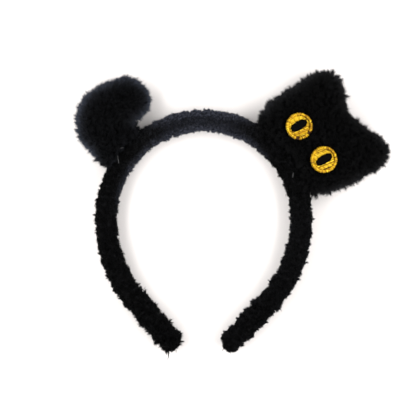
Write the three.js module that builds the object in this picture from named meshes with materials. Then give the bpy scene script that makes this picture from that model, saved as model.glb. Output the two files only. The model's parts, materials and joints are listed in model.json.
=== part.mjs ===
// Plush cat headband: a sprung plastic strip in a foam wrap and a terry plush sleeve, with a stuffed
// cat head sewn to one side of the arch and a stuffed, curled tail sewn to the other.
// Millimetres, +Z up. The headband lies flat with the cat's face up, and the crown of the arch points +Y.
import * as THREE from "three";

// Arch: a half circle over the crown, a wider arc down each side, then a straight run to the tip.
const CROWN_RADIUS = 58.7;
const SIDE_RADIUS = 76;
const SIDE_TURN = THREE.MathUtils.degToRad(43);
const STRAIGHT_RUN = 27.4;
const STATION_PITCH = 10;

// Band section, as half sizes: across the arch (in its plane) and along Z.
const CORE_HALF = { across: 1, deep: 4.2, corner: 0 };
const FOAM_HALF = { across: 3.5, deep: 6, corner: 1.4 };
const SLEEVE_HALF = { across: 6.3, deep: 8.25, corner: 4.6 };
const GAP = 0.3;
const TIP_RINGS = 4;

// Stretch of each side, measured along the arch from the crown, where the band bends when it is spread.
const FLEX_START = 79;
const FLEX_END = 115;

// Stuffed pieces: half thickness, the plush wall, and, as shares of the outline, the flat middle of a
// panel, the hollow in it and the filling in that hollow.
const PLUSH_HALF = 12;
const PLUSH_WALL = 2.4;
const PLUSH_FLAT = 0.68;
const HOLLOW_SHARE = 0.9;
const FILLING_SHARE = 0.88;
const PLUSH_HEIGHT = PLUSH_HALF + 0.3;
const SEAM_GAP = 1.8;
const RIM_RINGS = 3;

// Each has its own upright frame, with its middle at the origin, in which the arch's centre lies below.
const HEAD_TURN = THREE.MathUtils.degToRad(-52.15);
const HEAD_ARCH_CENTRE = new THREE.Vector2(-1.84, -86.78);
const HEAD_SIDES = [
  [23.6, -25.2], [28.9, -21.3], [33.2, -9.3], [35.6, 5], [37, 17], [31.9, 27.5], [23.4, 27.9],
  [11.8, 24.8], [2, 23.2], [-5.4, 23.6], [-15, 27.9], [-27.9, 27.4], [-33.2, 17], [-33.9, 4], [-34.9, -8],
  [-34, -19], [-28.2, -26.2],
];
const TAIL_TURN = THREE.MathUtils.degToRad(50.15);
const TAIL_ARCH_CENTRE = new THREE.Vector2(-8.67, -82.56);
const TAIL_SIDES = [
  [5, -17.4], [6.2, -13.4], [13, -14], [20.5, -13.6], [25.5, -8], [26.8, 0], [24.4, 7.6], [18, 12.5],
  [9, 16.3], [0.5, 18.2], [-9, 16.8], [-16.9, 11.2], [-22.2, 2.8], [-23.5, -8], [-24.6, -17.4],
];

// Embroidered eyes, on the head's flat front.
const EYE_SPOTS = { left: [-12.2, -9.2], right: [12.2, -9.2] };
const EYE_RADIUS = 8.4;
const EYE_BORDER = 2.1;
const EYE_BORDER_HIGH = 1.4;
const EYE_BORDER_BEVEL = 0.5;
const EYE_FILL_HIGH = 1;
const EYE_PATCH_HIGH = 0.6;
const PUPIL_HALF = { long: 5.4, short: 2.6 };
const PUPIL_TURN = THREE.MathUtils.degToRad(85);
const EYE_SIDES = 24;

const THREAD_RADIUS = 0.3;
const THREAD_SIDES = 4;
const SEAM_STITCH_PITCH = 5;
const SEAM_STITCH_HALF_HEIGHT = 4.6;
const KNOT_RADIUS = 0.9;
const LOOSE_THREAD_LENGTH = 3;

const material = (color, roughness, metalness = 0) =>
  new THREE.MeshStandardMaterial({ color, roughness, metalness });
const coreMaterial = material(0x1b1b1d, 0.5);
const foamMaterial = material(0x2c2c2e, 0.9);
const terryMaterial = material(0x0b0b0d, 0.95);
const furMaterial = material(0x0c0d10, 0.95);
const fillingMaterial = material(0xd9d9d4, 0.9);
const goldMaterial = material(0xf2b81a, 0.45);
const feltMaterial = material(0x141414, 0.95);
const threadMaterial = material(0x101012, 0.6);

const bandDepth = SLEEVE_HALF.deep;
const sleeveOuterRadius = CROWN_RADIUS + SLEEVE_HALF.across;
const quarterLength = (CROWN_RADIUS * Math.PI) / 2;
const sideLength = SIDE_RADIUS * SIDE_TURN;
const halfLength = quarterLength + sideLength + STRAIGHT_RUN;

const asVector = ([x, y]) => new THREE.Vector2(x, y);

function addMesh(group, name, geometry, surface) {
  const mesh = new THREE.Mesh(geometry, surface);
  mesh.name = name;
  group.add(mesh);
  return mesh;
}

// The arch's middle line, in its plane, at a distance along it from the crown: positive to the right.
function archPoint(distance) {
  const along = Math.abs(distance);
  const side = Math.sign(distance) || 1;
  const point = new THREE.Vector3(0, 0, bandDepth);
  if (along <= quarterLength) {
    const angle = Math.PI / 2 - along / CROWN_RADIUS;
    point.x = side * CROWN_RADIUS * Math.cos(angle);
    point.y = CROWN_RADIUS * Math.sin(angle);
    return point;
  }
  const turned = Math.min((along - quarterLength) / SIDE_RADIUS, SIDE_TURN);
  const straight = Math.max(along - quarterLength - sideLength, 0);
  const x = CROWN_RADIUS - SIDE_RADIUS * (1 - Math.cos(turned)) - straight * Math.sin(turned);
  point.x = side * x;
  point.y = -SIDE_RADIUS * Math.sin(turned) - straight * Math.cos(turned);
  return point;
}

class ArchLine extends THREE.Curve {
  constructor(from, to) {
    super();
    this.from = from;
    this.to = to;
  }
  getPoint(t) {
    return archPoint(THREE.MathUtils.lerp(this.from, this.to, t));
  }
}

// Rounded rectangle: x runs along Z on the finished band, and y across the arch.
function roundedSection(path, halfDeep, halfAcross, corner) {
  const x = halfDeep - corner;
  const y = halfAcross - corner;
  if (corner === 0) return path.setFromPoints([[x, y], [-x, y], [-x, -y], [x, -y]].map(asVector));
  path.absarc(x, y, corner, 0, Math.PI / 2);
  path.absarc(-x, y, corner, Math.PI / 2, Math.PI);
  path.absarc(-x, -y, corner, Math.PI, Math.PI * 1.5);
  path.absarc(x, -y, corner, Math.PI * 1.5, Math.PI * 2);
  return path;
}

// A stretch of the band: one layer, hollow if another layer lies inside it.
function bandLayer(from, to, outer, inside, cornerSegments) {
  const section = roundedSection(new THREE.Shape(), outer.deep, outer.across, outer.corner);
  if (inside) {
    const { deep, across, corner } = inside;
    section.holes.push(roundedSection(new THREE.Path(), deep + GAP, across + GAP, corner));
  }
  const pitches = Math.max(2, Math.round(Math.abs(to - from) / STATION_PITCH));
  return new THREE.ExtrudeGeometry(section, {
    steps: pitches + 1 - (pitches % 2),
    curveSegments: cornerSegments,
    extrudePath: new ArchLine(from, to),
  });
}

function addBandStretch(group, name, from, to, endInset = 0) {
  const trim = Math.sign(to - from) * endInset;
  const layers = [
    ["core_strip", CORE_HALF, null, 1, coreMaterial, trim],
    ["foam_wrap", FOAM_HALF, CORE_HALF, 1, foamMaterial, trim],
    ["plush_sleeve", SLEEVE_HALF, FOAM_HALF, 2, terryMaterial, 0],
  ];
  for (const [layer, outer, inside, corners, surface, cut] of layers) {
    const geometry = bandLayer(from, to - cut, outer, inside, corners);
    addMesh(group, layer + "_" + name, geometry, surface);
  }
}

// The sleeve's closed, rounded end: half an ellipsoid on the end of the straight run.
function tipCap() {
  const profile = [new THREE.Vector2(0, 0)];
  for (let i = 0; i <= TIP_RINGS; i++) {
    const angle = (i / TIP_RINGS) * (Math.PI / 2);
    profile.push(new THREE.Vector2(Math.cos(angle), Math.sin(angle)));
  }
  profile[profile.length - 1].x = 0;
  const { across, deep } = SLEEVE_HALF;
  return new THREE.LatheGeometry(profile, 4 * TIP_RINGS).scale(across, across, deep);
}

// The closed end of one arm, and the thread knot on it. Returns the knot's group: +Y points off the cap.
function addArmTip(group, side, sideName, knotTurn) {
  const tip = new THREE.Group();
  tip.position.copy(archPoint(side * (halfLength + GAP)));
  tip.rotation.z = Math.PI - side * SIDE_TURN;
  group.add(tip);
  addMesh(tip, "sleeve_tip_" + sideName, tipCap(), terryMaterial);
  const ending = new THREE.Group();
  ending.rotation.z = knotTurn;
  tip.add(ending);
  const knot = new THREE.SphereGeometry(KNOT_RADIUS, 8, 5);
  const knotMesh = addMesh(ending, "tip_knot_" + sideName, knot, threadMaterial);
  knotMesh.position.y = SLEEVE_HALF.across + GAP + KNOT_RADIUS;
  return ending;
}

function threadAlong(points, steps) {
  const section = new THREE.Shape();
  section.absarc(0, 0, THREAD_RADIUS, 0, Math.PI * 2);
  return new THREE.ExtrudeGeometry(section, {
    steps,
    curveSegments: THREAD_SIDES,
    extrudePath: new THREE.CatmullRomCurve3(points),
  });
}

// Closed outline of a stuffed piece, anticlockwise: a smooth line through the given points, then a base
// that follows the sleeve at the seam gap.
function plushOutline(sides, archCentre, sideSegments, baseSegments) {
  const line = new THREE.SplineCurve(sides.map(asVector));
  const outline = line.getSpacedPoints(sideSegments);
  const baseRadius = sleeveOuterRadius + SEAM_GAP;
  const angleOf = (point) => Math.atan2(point.y - archCentre.y, point.x - archCentre.x);
  const from = angleOf(outline[sideSegments]);
  const to = angleOf(outline[0]);
  for (let i = 0; i <= baseSegments; i++) {
    const angle = THREE.MathUtils.lerp(from, to, i / baseSegments);
    const spot = new THREE.Vector2(Math.cos(angle), Math.sin(angle));
    outline.push(spot.multiplyScalar(baseRadius).add(archCentre));
  }
  outline.splice(sideSegments, 1);
  outline.shift();
  return outline;
}

// A solid skinned over copies of one outline. Each station is [share of the outline, height].
function ringSolid(outline, stations) {
  const count = outline.length;
  const positions = [];
  for (const [share, height] of stations)
    for (const point of outline) positions.push(point.x * share, point.y * share, height);
  const faces = [];
  for (let ring = 0; ring + 1 < stations.length; ring++)
    for (let i = 0; i < count; i++) {
      const a = ring * count + i;
      const b = ring * count + ((i + 1) % count);
      faces.push(a, b, b + count, a, b + count, a + count);
    }
  const caps = [
    [0, stations[0][1], true],
    [(stations.length - 1) * count, stations.at(-1)[1], false],
  ];
  for (const [first, height, facesDown] of caps) {
    const middle = positions.length / 3;
    positions.push(0, 0, height);
    for (let i = 0; i < count; i++) {
      const a = first + i;
      const b = first + ((i + 1) % count);
      faces.push(middle, facesDown ? b : a, facesDown ? a : b);
    }
  }
  const geometry = new THREE.BufferGeometry();
  geometry.setAttribute("position", new THREE.Float32BufferAttribute(positions, 3));
  geometry.setIndex(faces);
  geometry.computeVertexNormals();
  return geometry;
}

// Stations of half a pillow, from its rim to its flat face: side 1 is the front, side -1 the back.
function pillowHalf(share, half, side) {
  const stations = [];
  for (let i = 0; i <= RIM_RINGS; i++) {
    const angle = (i / RIM_RINGS) * (Math.PI / 2);
    const drawn = PLUSH_FLAT + (1 - PLUSH_FLAT) * Math.cos(angle);
    stations.push([share * drawn, side * (GAP / 2 + (half - GAP / 2) * Math.sin(angle))]);
  }
  return stations;
}

// Two plush panels, front and back, with the filling between them.
function addPlush(group, name, outline) {
  const hollow = PLUSH_HALF - PLUSH_WALL;
  const front = [...pillowHalf(HOLLOW_SHARE, hollow, 1).reverse(), ...pillowHalf(1, PLUSH_HALF, 1)];
  const back = [...pillowHalf(1, PLUSH_HALF, -1).reverse(), ...pillowHalf(HOLLOW_SHARE, hollow, -1)];
  addMesh(group, name + "_front_panel", ringSolid(outline, front), furMaterial);
  addMesh(group, name + "_back_panel", ringSolid(outline, back), furMaterial);
  const upper = pillowHalf(FILLING_SHARE, hollow - GAP, 1);
  const lower = pillowHalf(FILLING_SHARE, hollow - GAP, -1).reverse();
  addMesh(group, name + "_stuffing", ringSolid(outline, [...lower, ...upper]), fillingMaterial);
}

// One embroidered eye: felt patch, gold satin border, gold fill and a black slit pupil.
function addEye(group, sideName, [x, y]) {
  const eye = new THREE.Group();
  eye.position.set(x, y, PLUSH_HALF + GAP);
  group.add(eye);
  const patch = new THREE.CylinderGeometry(EYE_RADIUS - GAP, EYE_RADIUS - GAP, EYE_PATCH_HIGH, EYE_SIDES);
  patch.rotateX(Math.PI / 2).translate(0, 0, EYE_PATCH_HIGH / 2);
  addMesh(eye, "eye_" + sideName + "_patch", patch, feltMaterial);

  const embroidery = new THREE.Group();
  embroidery.position.z = EYE_PATCH_HIGH + GAP;
  eye.add(embroidery);
  const inner = EYE_RADIUS - EYE_BORDER;
  const bevel = EYE_BORDER_BEVEL;
  const border = new THREE.LatheGeometry(
    [
      new THREE.Vector2(inner, 0),
      new THREE.Vector2(EYE_RADIUS, 0),
      new THREE.Vector2(EYE_RADIUS, EYE_BORDER_HIGH - bevel),
      new THREE.Vector2(EYE_RADIUS - bevel, EYE_BORDER_HIGH),
      new THREE.Vector2(inner + bevel, EYE_BORDER_HIGH),
      new THREE.Vector2(inner, EYE_BORDER_HIGH - bevel),
      new THREE.Vector2(inner, 0),
    ],
    EYE_SIDES,
  );
  addMesh(embroidery, "eye_" + sideName + "_border", border.rotateX(Math.PI / 2), goldMaterial);

  const fillShape = new THREE.Shape();
  fillShape.absarc(0, 0, inner - GAP, 0, Math.PI * 2);
  const { long, short } = PUPIL_HALF;
  const slot = new THREE.Path();
  slot.absellipse(0, 0, long + GAP, short + GAP, 0, Math.PI * 2, false, PUPIL_TURN);
  fillShape.holes.push(slot);
  const flat = { depth: EYE_FILL_HIGH, bevelEnabled: false, curveSegments: EYE_SIDES / 2 };
  addMesh(embroidery, "eye_" + sideName + "_fill", new THREE.ExtrudeGeometry(fillShape, flat), goldMaterial);

  const slit = new THREE.Shape();
  slit.absellipse(0, 0, long, short, 0, Math.PI * 2, false, PUPIL_TURN);
  const pupil = new THREE.ExtrudeGeometry(slit, { ...flat, depth: EYE_BORDER_HIGH });
  addMesh(embroidery, "eye_" + sideName + "_pupil", pupil, feltMaterial);
}

// Zigzag sewing thread in the seam gap, from one angle about the arch's centre to another.
function addSeamThread(group, name, fromDegrees, toDegrees) {
  const radius = sleeveOuterRadius + SEAM_GAP / 2;
  const from = THREE.MathUtils.degToRad(fromDegrees);
  const to = THREE.MathUtils.degToRad(toDegrees);
  const turns = Math.round((Math.abs(to - from) * radius) / SEAM_STITCH_PITCH) * 2;
  const points = [];
  for (let i = 0; i <= turns; i++) {
    const angle = THREE.MathUtils.lerp(from, to, i / turns);
    const rise = i % 2 ? SEAM_STITCH_HALF_HEIGHT : -SEAM_STITCH_HALF_HEIGHT;
    points.push(new THREE.Vector3(radius * Math.cos(angle), radius * Math.sin(angle), bandDepth + rise));
  }
  addMesh(group, name, threadAlong(points, turns * 2), threadMaterial);
}

// A stuffed piece's own frame, turned so that its arch centre falls on the arch's centre.
function plushGroup(turn, archCentre) {
  const group = new THREE.Group();
  const offset = archCentre.clone().negate().rotateAround(new THREE.Vector2(), turn);
  group.position.set(offset.x, offset.y, PLUSH_HEIGHT);
  group.rotation.z = turn;
  return group;
}

const headband = new THREE.Group();
const band = new THREE.Group();
addBandStretch(band, "crown", -FLEX_START, FLEX_START);
addSeamThread(band, "head_seam_thread", 58.5, 19.5);
addSeamThread(band, "tail_seam_thread", 129.5, 151.5);
headband.add(band);

for (const [sideName, side] of [["left", -1], ["right", 1]]) {
  addBandStretch(band, "flex_" + sideName, side * (FLEX_START + GAP), side * (FLEX_END - GAP));
  const arm = new THREE.Group();
  addBandStretch(arm, "arm_" + sideName, side * FLEX_END, side * halfLength, 1);
  const isLeft = sideName === "left";
  const ending = addArmTip(arm, side, sideName, isLeft ? side * SIDE_TURN : 0);
  if (isLeft) {
    const start = SLEEVE_HALF.across + 2 * (GAP + KNOT_RADIUS);
    const half = LOOSE_THREAD_LENGTH / 2;
    const route = [
      new THREE.Vector3(0, start, 0),
      new THREE.Vector3(0.5, start + half, -0.6),
      new THREE.Vector3(-0.4, start + 2 * half, -1.8),
    ];
    addMesh(ending, "loose_thread_left", threadAlong(route, 6), threadMaterial);
  }
  headband.add(arm);
}

const catHead = plushGroup(HEAD_TURN, HEAD_ARCH_CENTRE);
addPlush(catHead, "head", plushOutline(HEAD_SIDES, HEAD_ARCH_CENTRE, 36, 7));
for (const [sideName, spot] of Object.entries(EYE_SPOTS)) addEye(catHead, sideName, spot);
headband.add(catHead);

const tail = plushGroup(TAIL_TURN, TAIL_ARCH_CENTRE);
addPlush(tail, "tail", plushOutline(TAIL_SIDES, TAIL_ARCH_CENTRE, 30, 5));
headband.add(tail);

// The origin is at the middle of the underside.
headband.updateMatrixWorld(true);
const extent = new THREE.Box3().setFromObject(headband, true);
const middle = extent.getCenter(new THREE.Vector3());
headband.position.set(-middle.x, -middle.y, -extent.min.z);

export default headband;
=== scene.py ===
"""Looks of the plush cat headband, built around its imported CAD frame: fur, fabric, embroidery and thread."""

import json
import math

import bmesh
import bpy
import numpy as np
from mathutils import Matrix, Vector, kdtree, noise


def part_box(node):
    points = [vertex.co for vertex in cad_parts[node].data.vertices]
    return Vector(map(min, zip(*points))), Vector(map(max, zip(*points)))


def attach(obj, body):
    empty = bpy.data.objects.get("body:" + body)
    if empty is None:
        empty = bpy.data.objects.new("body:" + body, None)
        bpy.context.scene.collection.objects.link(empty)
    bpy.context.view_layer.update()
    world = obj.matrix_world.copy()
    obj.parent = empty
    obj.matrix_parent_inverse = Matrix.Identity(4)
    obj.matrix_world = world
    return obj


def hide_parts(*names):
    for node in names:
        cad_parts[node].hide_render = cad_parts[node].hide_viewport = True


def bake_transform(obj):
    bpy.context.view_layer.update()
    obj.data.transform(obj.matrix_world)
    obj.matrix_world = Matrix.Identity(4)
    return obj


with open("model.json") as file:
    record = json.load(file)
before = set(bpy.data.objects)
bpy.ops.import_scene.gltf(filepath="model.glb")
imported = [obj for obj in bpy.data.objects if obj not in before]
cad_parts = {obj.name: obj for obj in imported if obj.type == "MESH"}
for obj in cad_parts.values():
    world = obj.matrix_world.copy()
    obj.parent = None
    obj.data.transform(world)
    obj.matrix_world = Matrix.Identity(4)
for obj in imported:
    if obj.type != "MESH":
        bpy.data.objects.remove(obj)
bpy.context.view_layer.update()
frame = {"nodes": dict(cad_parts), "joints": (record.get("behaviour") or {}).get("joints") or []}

MM = 0.001
TAU = 2 * math.pi

# The arch, as the frame has it: a half circle, a wider arc down each side, then a straight run.
CROWN_RADIUS = 58.7 * MM
SIDE_RADIUS = 76 * MM
SIDE_TURN = math.radians(43)
STRAIGHT_RUN = 27.4 * MM
FLEX_START = 79 * MM
FLEX_END = 115 * MM
BAND_MID = 8.25 * MM
QUARTER = CROWN_RADIUS * math.pi / 2
SIDE_LENGTH = SIDE_RADIUS * SIDE_TURN
HALF_LENGTH = QUARTER + SIDE_LENGTH + STRAIGHT_RUN

# Half sizes of the sleeve's fabric, without its pile: across the arch, and along Z.
FABRIC_ACROSS = 4.75 * MM
FABRIC_DEEP = 6.9 * MM
SECTION_POWER = 3.4
KNOB_HEIGHT = 1.5 * MM
KNOB_PITCH = 2.2 * MM
FLOOR_CLEARANCE = 0.15 * MM
TERRY_LENGTH = 1.45 * MM
TERRY_CLUMP_PITCH = 1.45 * MM
SLEEVE_SIDES = 66
LAYER_SIDES = 24
RING_PITCH = 0.6 * MM
RIM_OFFSET = 6.5 * MM
# The painted sheen's brightness above which the sleeve's backing is made paler.
SHEEN_PAINT_LEVEL = 0.012
OUTLINE_POINTS = 180
THREAD_SIDES = 6
STRAND_STEPS = 3
CLUMP_MOTTLE = 0.22
STRAND_MOTTLE = 0.3
STRANDS_A_PIECE = 19900

JOINT_POS = {j["name"]: Vector(j["pos_m"]) for j in frame["joints"]}


# ---------------------------------------------------------------- the frame's geometry

def arch_centre():
    """The middle of the arch's half circle, from the two hinges, which lie on the side arcs."""
    middle = (JOINT_POS["left_arm_flex"] + JOINT_POS["right_arm_flex"]) / 2
    turned = ((FLEX_START + FLEX_END) / 2 - QUARTER) / SIDE_RADIUS
    return np.array([middle.x, middle.y + SIDE_RADIUS * math.sin(turned)])


ARCH = arch_centre()


def arch_line(distance):
    """Points of the arch's middle line and its outward directions, at distances from the crown.

    A distance is positive to the right.
    """
    distance = np.asarray(distance, float)
    along = np.abs(distance)
    side = np.where(distance < 0, -1.0, 1.0)
    angle = np.minimum(along, QUARTER) / CROWN_RADIUS
    turned = np.clip((along - QUARTER) / SIDE_RADIUS, 0, SIDE_TURN)
    straight = np.maximum(along - QUARTER - SIDE_LENGTH, 0)
    lower = along > QUARTER
    side_x = CROWN_RADIUS - SIDE_RADIUS * (1 - np.cos(turned)) - straight * np.sin(turned)
    side_y = -SIDE_RADIUS * np.sin(turned) - straight * np.cos(turned)
    x = np.where(lower, side_x, CROWN_RADIUS * np.sin(angle))
    y = np.where(lower, side_y, CROWN_RADIUS * np.cos(angle))
    heading = np.where(lower, math.pi / 2 + turned, angle)
    points = np.stack([ARCH[0] + side * x, ARCH[1] + y, np.full_like(x, BAND_MID)], -1)
    outward = np.stack([side * np.sin(heading), np.cos(heading), np.zeros_like(x)], -1)
    return points, outward


def arch_offset(points):
    """Distance along the arch from the crown, and distance outwards from its middle line, of each point."""
    x, y = np.abs(points[:, 0] - ARCH[0]), points[:, 1] - ARCH[1]
    angle = np.arctan2(x, y)
    shift = SIDE_RADIUS - CROWN_RADIUS
    turned = np.clip(np.arctan2(-y, x + shift), 0, SIDE_TURN)
    end_x = SIDE_RADIUS * math.cos(SIDE_TURN) - shift
    end_y = -SIDE_RADIUS * math.sin(SIDE_TURN)
    past = np.maximum(-(x - end_x) * math.sin(SIDE_TURN) - (y - end_y) * math.cos(SIDE_TURN), 0)
    straight = (turned >= SIDE_TURN) * past
    aside = (x - end_x) * math.cos(SIDE_TURN) - (y - end_y) * math.sin(SIDE_TURN)
    lower = np.where(turned >= SIDE_TURN, aside, np.hypot(x + shift, y) - SIDE_RADIUS)
    distance = np.where(y > 0, CROWN_RADIUS * angle, QUARTER + SIDE_RADIUS * turned + straight)
    offset = np.where(y > 0, np.hypot(x, y) - CROWN_RADIUS, lower)
    return np.where(points[:, 0] < ARCH[0], -distance, distance), offset


def turned_2d(points, angle):
    c, s = math.cos(angle), math.sin(angle)
    return points @ np.array([[c, s], [-s, c]])


class Plush:
    """A stuffed piece's own upright frame, as the CAD model places it: its middle at the origin."""

    def __init__(self, name, body, turn, offset):
        self.name = name
        self.body = body
        self.turn = math.radians(turn)
        self.middle = ARCH + turned_2d(np.array(offset) * MM, self.turn)

    def local(self, points):
        return turned_2d(points - self.middle, -self.turn)

    def world(self, points):
        return turned_2d(points, self.turn) + self.middle

    def outline(self, count):
        """The outer line of the CAD panel's rim as evenly spaced points, anticlockwise, in this frame."""
        co = np.array([v.co for v in frame["nodes"][self.name + "_front_panel"].data.vertices])
        rim = co[co[:, 2] < co[:, 2].min() + 0.01 * MM]
        flat = self.local(rim[:, :2])
        angle = np.arctan2(flat[:, 1], flat[:, 0])
        reach = np.hypot(flat[:, 0], flat[:, 1])
        order = np.argsort(angle)
        spokes = np.split(order, np.flatnonzero(np.diff(angle[order]) > 1e-3) + 1)
        return resampled(flat[[spoke[np.argmax(reach[spoke])] for spoke in spokes]], count)


def resampled(closed_line, count):
    """Evenly spaced points on a closed line."""
    loop = np.vstack([closed_line, closed_line[:1]])
    length = np.concatenate([[0], np.cumsum(np.linalg.norm(np.diff(loop, axis=0), axis=1))])
    at = np.arange(count) / count * length[-1]
    return np.stack([np.interp(at, length, loop[:, k]) for k in range(loop.shape[1])], -1)


HEAD = Plush("head", "cat_head", -52.15, (1.84, 86.78))
TAIL = Plush("tail", "tail", 50.15, (8.67, 82.56))


# ---------------------------------------------------------------- mesh helpers

def new_mesh(name, points, faces, materials, shade=None):
    """A mesh object. faces is a list of index arrays, each of one face size.

    shade gives each face's material.
    """
    mesh = bpy.data.meshes.new(name)
    sizes = np.concatenate([np.full(len(f), f.shape[1]) for f in faces])
    corners = np.concatenate([f.ravel() for f in faces]).astype(np.int32)
    mesh.vertices.add(len(points))
    mesh.vertices.foreach_set("co", np.asarray(points, np.float32).ravel())
    mesh.loops.add(len(corners))
    mesh.loops.foreach_set("vertex_index", corners)
    mesh.polygons.add(len(sizes))
    mesh.polygons.foreach_set("loop_start", np.concatenate([[0], np.cumsum(sizes)[:-1]]).astype(np.int32))
    mesh.polygons.foreach_set("use_smooth", np.ones(len(sizes), bool))
    if shade is not None:
        mesh.polygons.foreach_set("material_index", np.asarray(shade, np.int32))
    mesh.update(calc_edges=True)
    for material in materials:
        mesh.materials.append(material)
    obj = bpy.data.objects.new(name, mesh)
    bpy.context.scene.collection.objects.link(obj)
    return obj


def face_outwards(obj):
    """Turns the faces of a closed mesh outwards."""
    bm = bmesh.new()
    bm.from_mesh(obj.data)
    bmesh.ops.recalc_face_normals(bm, faces=bm.faces)
    bm.to_mesh(obj.data)
    bm.free()


def grid_quads(rings, sides, first=0):
    """Quads between successive closed rings of points."""
    ring, side = np.meshgrid(np.arange(rings - 1), np.arange(sides), indexing="ij")
    a = first + ring * sides + side
    b = first + ring * sides + (side + 1) % sides
    return np.stack([a, b, b + sides, a + sides], -1).reshape(-1, 4)


def ring_fan(first, sides, middle):
    side = np.arange(sides)
    return np.stack([first + side, first + (side + 1) % sides, np.full(sides, middle)], -1)


def unit(vectors):
    return vectors / np.maximum(np.linalg.norm(vectors, axis=-1, keepdims=True), 1e-12)


def tube_parts(points, radius, first=0):
    """Points, quads and end triangles of a closed round tube along a polyline. radius may vary along it."""
    sides = THREAD_SIDES
    points = np.asarray(points, float)
    radius = np.broadcast_to(radius, len(points))
    tangent = unit(np.gradient(points, axis=0))
    up = np.where(np.abs(tangent[:, 2:3]) > 0.9, [[1.0, 0, 0]], [[0, 0, 1.0]])
    across = unit(np.cross(tangent, up))
    over = np.cross(across, tangent)
    angle = np.arange(sides) / sides * TAU
    ring = np.cos(angle)[None, :, None] * across[:, None] + np.sin(angle)[None, :, None] * over[:, None]
    body = (points[:, None] + ring * radius[:, None, None]).reshape(-1, 3)
    last = first + (len(points) - 1) * sides
    ends = first + len(body)
    quads = grid_quads(len(points), sides, first)[:, ::-1]
    caps = np.vstack([ring_fan(first, sides, ends), ring_fan(last, sides, ends + 1)[:, ::-1]])
    return np.vstack([body, points[:1], points[-1:]]), quads, caps


def tubes(name, paths, radius, materials, shades=None):
    """Many tubes as one mesh. shades gives each tube's material."""
    points, quads, caps, quad_shade, cap_shade = [], [], [], [], []
    first = 0
    for i, path in enumerate(paths):
        body, q, c = tube_parts(path, radius, first)
        shade = 0 if shades is None else shades[i]
        points.append(body)
        quads.append(q)
        caps.append(c)
        quad_shade += [shade] * len(q)
        cap_shade += [shade] * len(c)
        first += len(body)
    faces = [np.vstack(quads), np.vstack(caps)]
    return new_mesh(name, np.vstack(points), faces, materials, quad_shade + cap_shade)


def scatter(points, normals, quads, count, rng, density=None):
    """Random places on a surface of quads, with their normals. density weighs a place, from its points."""
    tris = np.vstack([quads[:, [0, 1, 2]], quads[:, [0, 2, 3]]])
    a, b, c = points[tris[:, 0]], points[tris[:, 1]], points[tris[:, 2]]
    weight = np.linalg.norm(np.cross(b - a, c - a), axis=1)
    if density is not None:
        weight = weight * density((a + b + c) / 3)
    pick = rng.choice(len(tris), count, p=weight / weight.sum())
    u, v = rng.random(count), rng.random(count)
    fold = u + v > 1
    u, v = np.where(fold, 1 - u, u)[:, None], np.where(fold, 1 - v, v)[:, None]
    places = a[pick] + u * (b[pick] - a[pick]) + v * (c[pick] - a[pick])
    na, nb, nc = (normals[tris[pick, k]] for k in range(3))
    return places, unit(na + u * (nb - na) + v * (nc - na))


def rotated(vectors, axes, angles):
    """Vectors turned about unit axes."""
    c, s = np.cos(angles)[..., None], np.sin(angles)[..., None]
    along = (vectors * axes).sum(-1, keepdims=True)
    return vectors * c + np.cross(axes, vectors) * s + axes * along * (1 - c)


def fur(
    name, roots, normals, rng, materials, length, clumps, gather, twist, lean, curl, radius,
    uneven, stray, level, growth, comb=None,
):
    """Pile as closed, tapered, three-sided strands, which draw together and twist towards their clump's tip.

    It is made as several objects of at most STRANDS_A_PIECE strands. uneven spreads the clumps' lengths,
    and stray is the share of hairs that leave their clump. level and growth give the brightness and the
    relative length at each root, and comb gives the clumps' lean.
    """
    count = len(roots)
    heads = rng.choice(count, clumps, replace=False)
    tree = kdtree.KDTree(clumps)
    for i, h in enumerate(heads):
        tree.insert(roots[h], i)
    tree.balance()
    clump = np.array([tree.find(p)[1] for p in roots])
    axis = normals[heads] + lean * rng.normal(size=(clumps, 3))
    if comb is not None:
        axis = axis + comb(roots[heads])
    axis = unit(axis)[clump]
    clump_root = roots[heads][clump]
    clump_length = (1 - uneven + 2 * uneven * rng.random(clumps))[clump]
    reach = length * clump_length * (0.7 + 0.45 * rng.random(count)) * growth(roots)
    loose = rng.random(count) < stray
    gather = np.where(loose, 0.1, gather)[:, None]
    axis = unit(axis + np.where(loose, 0.35, 0.06)[:, None] * rng.normal(size=(count, 3)))
    spin = (twist * rng.choice([-1, 1], clumps))[clump] * (0.7 + 0.6 * rng.random(count))
    phase = rng.random(count) * TAU
    side = unit(np.cross(axis, np.tile([0.31, 0.17, 0.93], (count, 1))))
    other = np.cross(axis, side)
    paths = np.empty((count, STRAND_STEPS, 3))
    for k, share in enumerate(np.linspace(0, 1, STRAND_STEPS)):
        swing = phase + share * TAU * 0.6
        curled = curl * share * (np.cos(swing)[:, None] * side + np.sin(swing)[:, None] * other)
        spread = rotated(roots - clump_root, axis, spin * share) * (1 - gather * share)
        paths[:, k] = clump_root + spread + axis * (reach * share)[:, None] + curled
    paths[..., 2] = np.maximum(paths[..., 2], FLOOR_CLEARANCE)
    shade = shade_of(level(roots)) + (rng.normal(size=clumps) * CLUMP_MOTTLE)[clump]
    shade = shade + rng.normal(size=count) * STRAND_MOTTLE
    shade = np.clip(np.round(shade), 0, len(materials) - 1).astype(int)
    thick = radius * (0.8 + 0.4 * rng.random(count))
    pieces = math.ceil(count / STRANDS_A_PIECE)
    made = []
    for i, part in enumerate(np.array_split(np.arange(count), pieces)):
        made.append(strands(f"{name}_{i + 1}", paths[part], thick[part], materials, shade[part], rng))
    return made


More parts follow.
